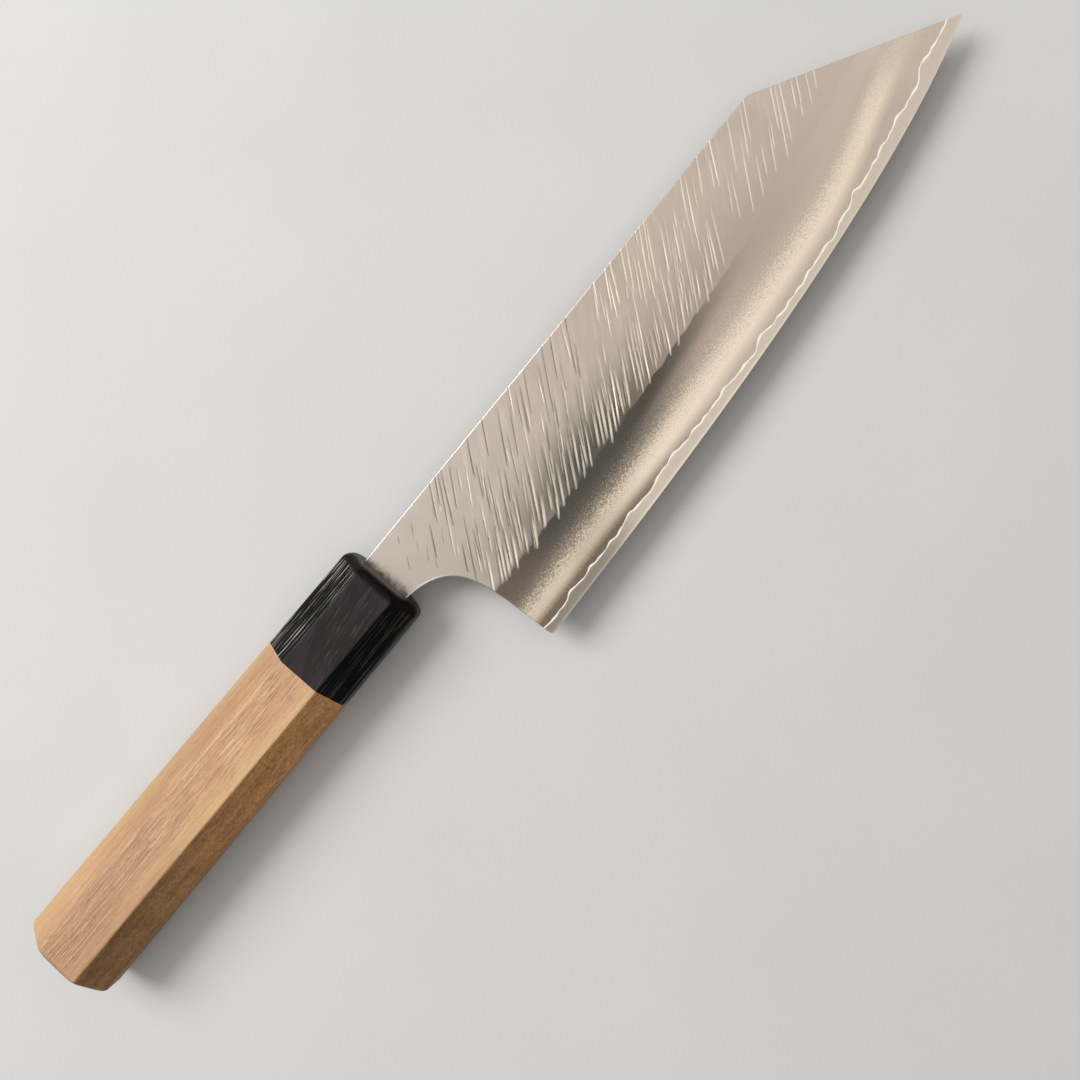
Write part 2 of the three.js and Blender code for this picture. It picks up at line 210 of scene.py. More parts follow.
def on_outline(outline, offset):
    """Points of an outline at these offsets across the strokes, read off by linear interpolation."""
    return np.stack([np.interp(offset, outline @ across, outline[:, k]) for k in (0, 1)], -1)


def cross_lines(last_offset, step):
    """Low and high ends of the cross lines: the tang's, the neck's fan, then one at each even offset."""
    shoulder = (NECK_HEIGHT - TANG_HEIGHT) / 2
    tang_x = np.array([-TANG_LENGTH, -NECK_SEAT - shoulder])
    tang_half = np.array([TANG_END_HEIGHT, TANG_HEIGHT]) / 2
    first_offset = neck @ across
    fan = np.linspace(0, 1, FAN_LINES, endpoint=False)[:, None]
    fan_foot = lower_outline[0] + fan * (neck - lower_outline[0])
    fan_head = upper_outline[0] + fan * (on_outline(upper_outline, first_offset) - upper_outline[0])
    offsets = np.linspace(first_offset, last_offset, round((last_offset - first_offset) / step))
    low = [np.stack([tang_x, -tang_half], -1), fan_foot, on_outline(lower_outline, offsets)]
    high = [np.stack([tang_x, tang_half], -1), fan_head, on_outline(upper_outline, offsets)]
    return np.concatenate(low), np.concatenate(high)


def uncovered(low, high, half):
    """Share of each cross line at which the grind reaches a layer's half thickness, found by halving."""
    first, last = np.zeros(len(low)), np.ones(len(low))
    for _ in range(HALVINGS):
        middle = (first + last) / 2
        x, y = (low + middle[:, None] * (high - low)).T
        inside = grind_half(x, y) < half(x)
        first, last = np.where(inside, middle, first), np.where(inside, last, middle)
    return last


ferrule_low, ferrule_high = np.array(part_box("ferrule"))
plan_origin = np.array([ferrule_high[0], *(ferrule_low + ferrule_high)[1:] / 2])
MM = 0.001
MERGE_REACH = 1e-7


def stand(name, data):
    """A new object that holds some data, at the origin of the scene."""
    made = bpy.data.objects.new(name, data)
    bpy.context.scene.collection.objects.link(made)
    return made


def piece(name, rings, slot, ends=True, crease=35, **readings):
    """A closed mesh from rings of points: rings are joined in turn, and end in a face or in each other.

    Where a row of a ring runs out, its points meet, and are merged. Edges that turn by more than the
    crease, in degrees, stay sharp. Readings are values at the points, for the finish.
    """
    count, size = rings.shape[:2]
    index = np.arange(count * size).reshape(count, size)
    ring = index if ends else np.concatenate([index, index[:1]])
    a, b = ring[:-1], ring[1:]
    faces = np.stack([a, np.roll(a, -1, 1), np.roll(b, -1, 1), b], -1).reshape(-1, 4).tolist()
    if ends:
        faces += [index[0, ::-1].tolist(), index[-1].tolist()]
    mesh = bpy.data.meshes.new(name)
    mesh.from_pydata((rings.reshape(-1, 3) * MM + plan_origin).tolist(), [], faces)
    for reading, values in readings.items():
        attribute = mesh.attributes.new(reading, "FLOAT", "POINT")
        attribute.data.foreach_set("value", np.ascontiguousarray(values, np.float32).ravel())
    merged = bmesh.new()
    merged.from_mesh(mesh)
    bmesh.ops.remove_doubles(merged, verts=merged.verts, dist=MERGE_REACH)
    merged.to_mesh(mesh)
    merged.free()
    mesh.shade_smooth()
    mesh.set_sharp_from_angle(angle=np.radians(crease))
    made = stand(name, mesh)
    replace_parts(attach(made, "root"), name.removesuffix("_finish"))
    return made


def colour(red, green, blue):
    """A colour as the eye reads it, 0 to 255, turned into linear light."""
    share = np.array([red, green, blue]) / 255
    return (*np.where(share > 0.04045, ((share + 0.055) / 1.055) ** 2.4, share / 12.92), 1)


class Finish:
    """A material's node tree, built from the surface coordinates up to the Principled shader."""

    def __init__(self, name, **sockets):
        self.material = bpy.data.materials.new(name)
        self.material.use_nodes = True
        self.tree = self.material.node_tree
        self.shader = self.tree.nodes["Principled BSDF"]
        self.place = self.tree.nodes.new("ShaderNodeTexCoord").outputs["Object"]
        self.set(self.shader, {key.replace("_", " "): value for key, value in sockets.items()})

    def set(self, node, sockets):
        """Links each socket to another node's output, or gives it a value."""
        for key, value in sockets.items():
            if isinstance(value, bpy.types.NodeSocket):
                self.tree.links.new(value, node.inputs[key])
            else:
                node.inputs[key].default_value = value

    def add(self, kind, sockets, **settings):
        """A new node with these settings and sockets."""
        node = self.tree.nodes.new("ShaderNode" + kind)
        for key, value in settings.items():
            setattr(node, key, value)
        self.set(node, sockets)
        return node

    def plan(self):
        """The place on the plan in millimetres, as X, Y and Z."""
        placed = self.add("VectorMath", {0: self.place, 1: plan_origin}, operation="SUBTRACT").outputs[0]
        scaled = self.add("VectorMath", {0: placed, "Scale": 1 / MM}, operation="SCALE").outputs[0]
        return self.add("SeparateXYZ", {0: scaled}).outputs

    def reading(self, name):
        """A value that the mesh carries at its points."""
        return self.add("Attribute", {}, attribute_name=name).outputs["Fac"]

    def noise(self, size, detail=3, rough=0.5, turn=0):
        """Cloudy noise with grains of these sizes in millimetres, turned by an angle about Z."""
        placing = {"Vector": self.place, "Scale": np.array(size) * MM, "Rotation": (0, 0, turn)}
        placed = self.add("Mapping", placing, vector_type="TEXTURE").outputs[0]
        grain = {"Vector": placed, "Scale": 1, "Detail": detail, "Roughness": rough}
        return self.add("TexNoise", grain).outputs["Fac"]

    def math(self, operation, a, b=0.5, clamp=False):
        """A sum, a product or the like of two values, or of the first alone."""
        return self.add("Math", {0: a, 1: b}, operation=operation, use_clamp=clamp).outputs[0]

    def times(self, product, *shares):
        """The product of values."""
        for share in shares:
            product = self.math("MULTIPLY", product, share)
        return product

    def fade(self, value, low, high, to_low=0, to_high=1):
        """A smooth step from one value to another."""
        sockets = {"Value": value, "From Min": low, "From Max": high, "To Min": to_low, "To Max": to_high}
        return self.add("MapRange", sockets, interpolation_type="SMOOTHSTEP").outputs[0]

    def blend(self, share, a, b):
        """A value between two, by a share."""
        return self.add("Mix", {0: share, 2: a, 3: b}, data_type="FLOAT").outputs[0]

    def mix(self, share, a, b, way="MIX"):
        """A colour between two, by a share."""
        mixed = self.add("Mix", {0: share, 6: a, 7: b}, data_type="RGBA", blend_type=way)
        return mixed.outputs[2]

    def tones(self, value, *stops):
        """A colour ramp through stops of place and colour."""
        ramp = self.add("ValToRGB", {"Fac": value})
        elements = ramp.color_ramp.elements
        while len(elements) < len(stops):
            elements.new(0)
        for element, (place, tone) in zip(elements, stops):
            element.position, element.color = place, tone
        return ramp.outputs[0]

    def bump(self, height, depth, under=None):
        """A bump of this depth in millimetres, over another one where there is one."""
        sockets = {"Height": height, "Distance": depth * MM, "Strength": 1}
        if under is not None:
            sockets["Normal"] = under
        return self.add("Bump", sockets).outputs[0]

    def give(self, made, **sockets):
        """Sets the last sockets of the shader, and gives the finish to a piece."""
        self.set(self.shader, {key.replace("_", " "): value for key, value in sockets.items()})
        made.data.materials.clear()
        made.data.materials.append(self.material)


CORE_ROWS = 6
CORE_STEP = 3 * LINE_STEP
TIP_INSET = 0.05

core_low, core_high = cross_lines(tip @ across - TIP_INSET, CORE_STEP)
core_line = uncovered(core_low, core_high, core_half)
core_share = np.concatenate([np.linspace(0, 1, CORE_ROWS), [1]])[None] * core_line[:, None]
core_share[:, -1] = 1
core_plan = core_low[:, None] + core_share[..., None] * (core_high - core_low)[:, None]
core_x, core_y = np.moveaxis(core_plan, -1, 0)
core_z = np.minimum(core_half(core_x), grind_half(core_x, core_y))
core_top = np.stack([core_x, core_y, core_z], -1)
core_under = np.stack([core_x, core_y, -core_z], -1)
core_rings = np.concatenate([core_top, core_under[:, ::-1]], 1)[:, ::-1]
core_above = core_y - edge_y(core_x)
core_above = np.concatenate([core_above, core_above[:, ::-1]], 1)
core = piece("blade_core_finish", core_rings, "core_steel", above=core_above)

core_steel = Finish("core_steel", Metallic=1)
core_forward = core_steel.plan()["X"]
honed = core_steel.noise((9, 0.3, 0.3), 4)
core_tone = core_steel.mix(honed, colour(197, 183, 166), colour(213, 199, 181))
heel_shade = core_steel.fade(core_forward, 36, 56, 0.9, 0)
core_tone = core_steel.mix(heel_shade, core_tone, colour(137, 128, 117))
# A painted highlight along the cutting edge, weakest at the heel and weaker again towards the tip.
edge_painted_highlight = core_steel.times(
    core_steel.fade(core_steel.reading("above"), 0, 0.9, 0.57, 0),
    core_steel.fade(core_forward, 36, 56, 0.4, 1),
    core_steel.fade(core_forward, 90, 118, 1, 0.3),
)
core_steel.give(
    core,
    Base_Color=core_steel.mix(edge_painted_highlight, core_tone, colour(240, 229, 212)),
    Roughness=core_steel.fade(honed, 0.3, 0.7, 0.28, 0.4),
    Normal=core_steel.bump(honed, 0.004),
)

# Bond layers
# A film of soft bright metal that welds each cladding to the core. Only its edge shows, as the thin
# white line that wanders along the blade, and as hairlines along the spine.
BOND_SHARE = 0.02
BOND_WAVES = ((8.3, 0.3), (3.7, 0.22))
BOND_ROWS = 4
BOND_STEP = 2 * LINE_STEP
LEAST_FILM = 0.001
SLOPE_SAMPLES = 4000
RUN_OUT = 0.02


def bond_half(x):
    """Outer half thickness of the bond: the core's and a film that swells and thins in sine waves."""
    swell = 1 + sum(share * np.sin(2 * np.pi * x / length) for length, share in BOND_WAVES)
    return core_half(x) + BOND_SHARE * spine_half(x) * swell


def last_uncovered(half):
    """Offset across the strokes just before a layer runs out on the back slope."""
    offsets = np.linspace(corner @ across, tip @ across, SLOPE_SAMPLES)
    x, y = on_outline(upper_outline, offsets).T
    return offsets[np.argmax(grind_half(x, y) < half(x))] - RUN_OUT


bond_low, bond_high = cross_lines(last_uncovered(core_half), BOND_STEP)
bond_from = uncovered(bond_low, bond_high, core_half)
bond_to = uncovered(bond_low, bond_high, bond_half)
bond_share = bond_from[:, None] + np.linspace(0, 1, BOND_ROWS) * (bond_to - bond_from)[:, None]
bond_share = np.concatenate([bond_share, np.ones((len(bond_share), 1))], 1)
bond_plan = bond_low[:, None] + bond_share[..., None] * (bond_high - bond_low)[:, None]
bond_x, bond_y = np.moveaxis(bond_plan, -1, 0)
bond_z = np.minimum(bond_half(bond_x), grind_half(bond_x, bond_y))
bond_floor = np.minimum(core_half(bond_x), bond_z - LEAST_FILM)
bond_top = np.stack([bond_x, bond_y, bond_z], -1)
bond_under = np.stack([bond_x, bond_y, bond_floor], -1)[:, [-1, 0]]
bond_ring = np.concatenate([bond_top, bond_under], 1)[:, ::-1]
mirrored = np.array([1, 1, -1])

bond_metal = Finish("bond_metal", Metallic=1, Roughness=0.24)
bond_cloud = bond_metal.noise((1.2, 1.2, 1.2), 2)
bond_tone = bond_metal.mix(bond_cloud, colour(236, 228, 212), colour(255, 251, 242))
for side, ring in (("right", bond_ring), ("left", bond_ring[:, ::-1] * mirrored)):
    bond_metal.give(piece(f"bond_layer_{side}_finish", ring, "bond_metal"), Base_Color=bond_tone)

# Claddings
# Soft stainless steel, forged onto both sides of the core. The smith leaves the flats covered with
# leaning hammer strokes; the grind below cuts across their ends and is misted with fine grit.
CLADDING_ROWS = 58
END_ROW = 0.005
LEAST_SKIN = 0.002
SPINE_EASING = 0.09
CHOIL_EASING = 0.34
EASING_ROWS = 3
RIM_FULL = 0.2
VALLEY = -0.3
FLANK_SCOOP = 0.7
STROKE_PEAK = 0.385
# Of each kind of stroke: how many, then ranges of the place across the blade, the rise from the grind
# to the spine, the length, the half width and the depth, the painted highlight of one flank and the painted
# shade of the other.
STROKE_KINDS = (
    (30, (25, 66), (-0.1, 0.02), (6, 15), (0.36, 0.6), (0.09, 0.16), (0.2, 0.62), (0.4, 1)),
    (20, (62, 92), (-0.08, 0.03), (6, 15), (0.24, 0.42), (0.06, 0.11), (0.2, 0.6), (0.1, 0.4)),
    (40, (22, 84), (0, 0.25), (5, 12), (0.2, 0.34), (0.035, 0.07), (0.15, 0.55), (0.5, 1)),
    (50, (15, 96), (0.1, 0.9), (3, 13), (0.16, 0.28), (0.03, 0.06), (0.1, 0.5), (0.3, 0.7)),
    (36, (13, 56), (0, 0.75), (7, 18), (0.2, 0.3), (0.03, 0.055), (-1, -0.6), (0.8, 1)),
    (44, (60, 122), (0, 0.75), (7, 20), (0.16, 0.28), (0.025, 0.055), (0.6, 1), (0, 0.1)),
    (8, (4, 17), (0.1, 0.8), (2, 6), (0.09, 0.13), (0.01, 0.02), (-0.9, -0.6), (0.6, 0.9)),
)
STROKES_FROM, STROKES_FULL = 1, 9
STROKE_SWAY = 0.03
FLANK_SHADE_FROM, FLANK_SHADE_TO = 26, 60
FLANK_SHADE_LEFT = 0.1
HOLLOWS = 6
HOLLOW_LENGTHS = (4, 11)
UNEVEN = 0.03


def strokes(random, offset, reach, reach_grind, reach_spine):
    """Depth of the hammer strokes at each point, and the painted light of their flanks, from the deepest
    stroke there.

    Across, a stroke is a lopsided V with scooped flanks; along, its depth goes as the square root of the
    way from its foot times the way left, over the peak of that. The steep flank gets painted shade, below
    0, which is weaker towards the tip; the other gets a painted highlight, above 0.
    """
    depth, painted_flank_light = np.zeros_like(reach), np.zeros_like(reach)
    middle = offset.mean(1)
    kinds = [(k / count, 1 / count, *kind) for count, *kind in STROKE_KINDS for k in range(count)]
    for turn, room, (first, last), rises, lengths, widths, depths, brights, darks in kinds:
        place = first + (last - first) * (turn + room * random.uniform())
        line = np.argmin(np.abs(middle - place))
        start = reach_grind[line] + random.uniform(*rises) * (reach_spine[line] - reach_grind[line])
        length, width, deep = (random.uniform(*span) for span in (lengths, widths, depths))
        bright = random.uniform(*brights)
        dark = random.uniform(*darks) * np.interp(place, [FLANK_SHADE_FROM, FLANK_SHADE_TO], [1, FLANK_SHADE_LEFT])
        band = np.abs(middle - place) < width + 4 * STROKE_SWAY * length
        share = np.clip((reach[band] - start) / length, 0, 1)
        bent = place + random.normal(0, STROKE_SWAY) * (reach[band] - start)
        side = (offset[band] - bent) / width
        body = np.sqrt(share) * (1 - share) / STROKE_PEAK
        cross = np.clip(np.minimum((side + 1) / (1 + VALLEY), (1 - side) / (1 - VALLEY)), 0, 1)
        groove = deep * body * cross**FLANK_SCOOP
        tone = np.where(side < VALLEY, -dark, bright) * np.sqrt(body * cross)
        deeper = groove > depth[band]
        depth[band] = np.where(deeper, groove, depth[band])
        painted_flank_light[band] = np.where(deeper, tone, painted_flank_light[band])
    return depth, painted_flank_light


def hollows(random, plan):
    """Gentle unevenness of the flats: the mean of sine waves that run in random directions."""
    angle, phase = random.uniform(0, 2 * np.pi, (2, HOLLOWS))
    pace = 2 * np.pi / random.uniform(*HOLLOW_LENGTHS, HOLLOWS)
    waves = np.sin(plan @ (np.stack([np.cos(angle), np.sin(angle)]) * pace) + phase)
    return UNEVEN * (1 + waves.mean(-1)) / 2


def cladding(side, seed):
    """One cladding: the lesser of the struck flat and the grind, with eased corners, over the bond."""
    low, high = cross_lines(last_uncovered(bond_half), LINE_STEP)
    length = np.linalg.norm(high - low, axis=1)
    foot = uncovered(low, high, bond_half)
    x, y = low.T
    thick = np.clip((grind_half(x, y) - bond_half(x)) / 2, 0, CHOIL_EASING)
    x, y = high.T
    thin = np.clip((np.minimum(flat_half(x, y), grind_half(x, y)) - bond_half(x)) / 2, 0, SPINE_EASING)
    thick, thin = np.minimum(thick, length / 4), np.minimum(thin, length / 4)
    quarter = np.linspace(0, np.pi / 2, EASING_ROWS)
    start, end = foot + thick / length, 1 - thin / length
    eased_foot = foot[:, None] + (thick / length)[:, None] * (1 - np.cos(quarter[:-1]))
    spread = np.concatenate([[0], np.linspace(END_ROW, 1 - END_ROW, CLADDING_ROWS - 2), [1]])
    even = start[:, None] + spread * (end - start)[:, None]
    eased_head = end[:, None] + (thin / length)[:, None] * np.sin(quarter[1:])
    share = np.concatenate([eased_foot, even, eased_head], 1)
    eased = np.zeros_like(share)
    eased[:, : EASING_ROWS - 1] = thick[:, None] * (1 - np.sin(quarter[:-1]))
    eased[:, 1 - EASING_ROWS :] = thin[:, None] * (1 - np.cos(quarter[1:]))
    rim_painted_highlight = np.zeros_like(share)
    rim_painted_highlight[:, :EASING_ROWS] = np.clip(thick / RIM_FULL, 0, 1)[:, None]
    plan = low[:, None] + share[..., None] * (high - low)[:, None]
    x, y = plan[..., 0], plan[..., 1]
    offset, reach = plan @ across, plan @ lean
    grind_line = np.argmax(y > edge_y(x) + bevel_height(x), axis=1)
    reach_grind = np.take_along_axis(reach, grind_line[:, None], 1)[:, 0]
    random = np.random.default_rng(seed)
    struck, painted_flank_light = strokes(random, offset, reach, reach_grind, reach[:, -1])
    clear_of_neck = np.interp(x, [STROKES_FROM, STROKES_FULL], [0, 1])
    hammered = flat_half(x, y) - clear_of_neck * (struck + hollows(random, plan))
    grind = grind_half(x, y)
    top = np.stack([x, y, np.minimum(hammered, grind) - eased], -1)
    top[:, 0, 2] = np.maximum(top[:, 0, 2], bond_half(x[:, 0]))
    under = np.stack([x, y, bond_half(x)], -1)[:, [0, -1]]
    under[:, 0, 2] = np.minimum(under[:, 0, 2], top[:, 0, 2] - LEAST_SKIN)
    ring = np.concatenate([top, under[:, ::-1]], 1)[:, ::-1]

    def around(values):
        """Values of the top, carried on round the underside as the ring is."""
        return np.concatenate([values, values[:, [-1, 0]]], 1)[:, ::-1]

    readings = {"above": y - edge_y(x), "proud": grind - hammered, "painted_flank_light": painted_flank_light, "rim_painted_highlight": rim_painted_highlight}
    readings = {name: around(values) for name, values in readings.items()}
    readings["rim_painted_highlight"][:, :2] = 0
    if side == "left":
        ring = ring[:, ::-1] * mirrored
        readings = {name: values[:, ::-1] for name, values in readings.items()}
    return piece(f"cladding_{side}_finish", ring, "cladding_steel", **readings)


cladding_steel = Finish("cladding_steel", Metallic=1)
above = cladding_steel.reading("above")
proud = cladding_steel.reading("proud")
painted_flank_light = cladding_steel.reading("painted_flank_light")
forward = cladding_steel.plan()["X"]
haze = cladding_steel.noise((9, 9, 9), 3)
grit = cladding_steel.noise((0.32, 0.32, 0.32), 2, 0.6)
brushed = cladding_steel.noise((14, 0.35, 0.35), 3)
drawn = cladding_steel.noise((13, 1.1, 9), 3, 0.5, STROKE_LEAN)

# The flats: even above, darker down at the grind behind the middle as painted shade, warm towards the tip,
# faintly streaked.
TONES_LENGTH = 180

over_grind = cladding_steel.fade(above, 19, 33)
way_along = cladding_steel.math("DIVIDE", forward, TONES_LENGTH)
low_tone = cladding_steel.tones(
    way_along,
    (0.06, colour(176, 165, 154)),
    (0.15, colour(152, 142, 129)),
    (0.28, colour(87, 83, 76)),
    (0.37, colour(96, 90, 81)),
    (0.5, colour(162, 148, 134)),
    (0.95, colour(198, 181, 166)),
)
high_tone = cladding_steel.tones(
    way_along,
    (0.06, colour(175, 165, 154)),
    (0.5, colour(180, 166, 151)),
    (0.9, colour(199, 182, 167)),
)
flat_tone = cladding_steel.mix(over_grind, low_tone, high_tone)
past_neck = cladding_steel.fade(forward, 12, 30)
streak = cladding_steel.times(cladding_steel.fade(drawn, 0.4, 0.75, 0, 0.3), over_grind, past_neck)
flat_tone = cladding_steel.mix(streak, flat_tone, colour(206, 197, 184))
shaded = cladding_steel.times(cladding_steel.fade(haze, 0.45, 0.7, 0, 0.25), over_grind)
flat_tone = cladding_steel.mix(shaded, flat_tone, colour(166, 155, 142))
# Painted shade on the flats just above the grind at the heel.
by_grind = cladding_steel.fade(above, 16.2, 19, 1, 0)
heel_painted_shade = cladding_steel.times(cladding_steel.fade(forward, 28, 38, 0.8, 0), by_grind)
flat_tone = cladding_steel.mix(heel_painted_shade, flat_tone, colour(96, 85, 76))
# The strokes' flanks: a painted highlight on the flank towards the lamp, painted shade on the steep one.
painted_flank_highlight = cladding_steel.math("MULTIPLY", painted_flank_light, 0.95, clamp=True)
flat_tone = cladding_steel.mix(painted_flank_highlight, flat_tone, colour(236, 225, 204))
scaled = cladding_steel.math("MULTIPLY", painted_flank_light, -0.9, clamp=True)
flat_tone = cladding_steel.mix(scaled, flat_tone, colour(78, 71, 64))

# The grind: a painted dark reflection under the flats, a grainy edge, a pale misted band that is partly
# painted reflection, brown above the bond. Towards the front the painted dark reflection runs out, last of
# all under the flats, and at the tip the band climbs.
TONES_HEIGHT = 24

climb = cladding_steel.fade(forward, 132, 168, 0, 3.4)
band = cladding_steel.math("SUBTRACT", above, climb)
coarseness = cladding_steel.fade(band, 5, 9, 2.5, 10)
calm = cladding_steel.fade(forward, 118, 150, 1, 0.42)
speckle = cladding_steel.times(cladding_steel.math("SUBTRACT", grit, 0.5), coarseness, calm)
height = cladding_steel.math("DIVIDE", cladding_steel.math("ADD", band, speckle), TONES_HEIGHT)
heel_tones = cladding_steel.tones(
    height,
    (0.16, colour(122, 107, 91)),
    (0.24, colour(212, 196, 174)),
    (0.31, colour(218, 203, 181)),
    (0.42, colour(147, 136, 121)),
    (0.53, colour(97, 91, 83)),
    (0.64, colour(80, 76, 69)),
)
front_tones = cladding_steel.tones(
    height,
    (0.12, colour(196, 180, 163)),
    (0.24, colour(237, 219, 198)),
    (0.33, colour(228, 210, 191)),
    (0.45, colour(190, 174, 158)),
    (0.6, colour(174, 158, 145)),
)
dark_lag = cladding_steel.times(above, 1.8)
dark_lag = cladding_steel.math("ADD", dark_lag, cladding_steel.fade(above, 6, 11, 0, 22))
dark_lag = cladding_steel.math("ADD", dark_lag, cladding_steel.fade(above, 13.5, 16.5, 0, 10))
brown_lag = cladding_steel.math("SUBTRACT", 53.2, cladding_steel.times(above, 6.4))
lag = cladding_steel.math("MAXIMUM", dark_lag, brown_lag)
to_front = cladding_steel.fade(cladding_steel.math("SUBTRACT", forward, lag), 11, 59)
ground_tone = cladding_steel.mix(to_front, heel_tones, front_tones)
by_tip = cladding_steel.fade(forward, 108, 165)
ground_tone = cladding_steel.mix(by_tip, ground_tone, colour(198, 181, 166), "LIGHTEN")
at_tip = cladding_steel.fade(forward, 158, 174, 0, 0.8)
ground_tone = cladding_steel.mix(at_tip, ground_tone, colour(208, 191, 175))
dulled = cladding_steel.times(
    cladding_steel.fade(forward, 28, 37),
    cladding_steel.fade(forward, 42, 62, 0.2, 0),
    cladding_steel.fade(above, 7, 9, 1, 0),
)
ground_tone = cladding_steel.mix(dulled, ground_tone, colour(104, 90, 72))
sparkle = cladding_steel.times(
    cladding_steel.fade(grit, 0.44, 0.62),
    cladding_steel.fade(band, 11, 13, 1, 0),
    cladding_steel.fade(forward, 30, 80, 0.24, 0.14),
)
ground_tone = cladding_steel.mix(sparkle, ground_tone, colour(132, 117, 98))
by_heel = cladding_steel.fade(forward, 16, 38, 0.5, 0)
heel_brown = cladding_steel.times(by_heel, cladding_steel.fade(above, 9, 13))
ground_tone = cladding_steel.mix(heel_brown, ground_tone, colour(124, 106, 95))

# The whole face: flats over grind, soiled and in painted shade at the ferrule, with a painted highlight on
# the rim under the neck.
is_flat = cladding_steel.fade(proud, -0.005, 0.005)
cladding_tone = cladding_steel.mix(is_flat, ground_tone, flat_tone)
# Darker next to the ferrule: soil on the steel, with painted shade where the blade meets the ferrule.
ragged_soil_and_shade = cladding_steel.times(cladding_steel.noise((1.1, 1.1, 1.1), 3), 5)
at_ferrule = cladding_steel.fade(cladding_steel.math("ADD", forward, ragged_soil_and_shade), 2, 4.4, 0.75, 0)
cladding_tone = cladding_steel.mix(at_ferrule, cladding_tone, colour(74, 64, 54))
# A painted highlight on the eased rim under the neck, weaker further forward.
rim_painted_highlight = cladding_steel.times(cladding_steel.reading("rim_painted_highlight"), cladding_steel.fade(forward, 6, 13, 1, 0.2))
cladding_tone = cladding_steel.mix(rim_painted_highlight, cladding_tone, colour(250, 245, 236))
misted = cladding_steel.fade(above, 7, 12, 0.46, 0.32)
roughness = cladding_steel.blend(rim_painted_highlight, cladding_steel.blend(is_flat, misted, 0.34), 0.85)
grain = cladding_steel.times(grit, cladding_steel.fade(above, 7, 12, 1, 0.1))
skin = cladding_steel.bump(grain, 0.008, cladding_steel.bump(brushed, 0.003))
for side, seed in (("right", 11), ("left", 23)):
    cladding_steel.give(cladding(side, seed), Base_Color=cladding_tone, Roughness=roughness, Normal=skin)

# Ferrule
# The handle's black front piece: stabilised dark wood, an octagon with a rounded front, slotted for the
# blade's neck, round which the front face carries a painted grey reflection of the blade, and bored behind
# for the dowel that joins it to the handle's body.
HANDLE_LENGTH = 123.5
FERRULE_LENGTH = 29.8
FRONT_HEIGHT = 22.9
BUTT_HEIGHT = 24.8
FRONT_THICKNESS = 18.5
BUTT_THICKNESS = 21
FRONT_BEVEL = 6.2
BUTT_BEVEL = 6.6
FERRULE_ROUND = 2.2
CREASE_ROUND = 0.6
FRONT_CREASE = 4
CREASE_POINTS = 7
FACET_POINTS = 5
ROUND_STEPS = 9
FIT_GAP = 0.25
BORE = 13.83
MOUTH_DEPTH = 6.95


def octagon(x, inset=0, crease=CREASE_ROUND):
    """One octagonal section: points along each facet in turn, and a round over the crease that ends it."""
    share = -np.asarray(x, float) / HANDLE_LENGTH
    y = (FRONT_HEIGHT + (BUTT_HEIGHT - FRONT_HEIGHT) * share) / 2 - inset
    z = (FRONT_THICKNESS + (BUTT_THICKNESS - FRONT_THICKNESS) * share) / 2 - inset
    run = FRONT_BEVEL + (BUTT_BEVEL - FRONT_BEVEL) * share - inset * (2 - np.sqrt(2))
    corners = np.array([[y, z - run], [y - run, z], [run - y, z], [-y, z - run]])
    corners = np.concatenate([corners, -corners])
    normals = np.arange(8) * np.pi / 4
    back = crease / np.cos(np.pi / 8)
    outward = np.stack([np.cos(normals + np.pi / 8), np.sin(normals + np.pi / 8)], -1)
    turn = normals[:, None] + np.linspace(0, np.pi / 4, CREASE_POINTS)
    arcs = (corners - back * outward)[:, None] + crease * np.stack([np.cos(turn), np.sin(turn)], -1)
    first, last = np.roll(arcs[:, -1], 1, 0)[:, None], arcs[:, 0][:, None]
    facets = first + np.linspace(0, 1, FACET_POINTS + 2)[1:-1, None] * (last - first)
    loop = np.concatenate([facets, arcs], 1).reshape(-1, 2)
    return np.column_stack([np.full(len(loop), float(x)), loop])


LOOP = 8 * (CREASE_POINTS + FACET_POINTS)
loop_angle = (np.arange(LOOP) - FACET_POINTS) * 2 * np.pi / LOOP
loop_way = np.stack([np.cos(loop_angle), np.sin(loop_angle)], -1)


def circle(x, diameter):
    """A round section with as many points as the octagon."""
    return np.column_stack([np.full(LOOP, float(x)), loop_way * diameter / 2])


def slot_loop(x, height, thickness):
    """A four-sided section: a square in the greater of the two directions, stretched to its sizes."""
    square = loop_way / np.abs(loop_way).max(1, keepdims=True)
    return np.column_stack([np.full(LOOP, float(x)), square * [height / 2, thickness / 2]])


def rounded_end(x, radius, out, crease, curve=0, slant=0):
    """Octagons round an end: a quarter circle from the sides in to the face.

    The creases grow rounder on the way, as the sine of the turn. A curved end falls back with the square
    of the distance from its middle, a slanted one evenly.
    """
    rings = []
    swell = np.array([BUTT_HEIGHT / FRONT_HEIGHT - 1, BUTT_THICKNESS / FRONT_THICKNESS - 1]) / HANDLE_LENGTH
    for turn in np.linspace(0, np.pi / 2, ROUND_STEPS):
        softened = CREASE_ROUND + (crease - CREASE_ROUND) * np.sin(turn)
        ring = octagon(x - out * radius * (1 - np.sin(turn)), radius * (1 - np.cos(turn)), softened)
        back = curve * (2 * ring[:, 1] / BUTT_HEIGHT) ** 2 + slant * ring[:, 1]
        ring[:, 0] -= out * back
        ring[:, 1:] *= 1 - back[:, None] * swell
        rings.append(ring)
    return rings


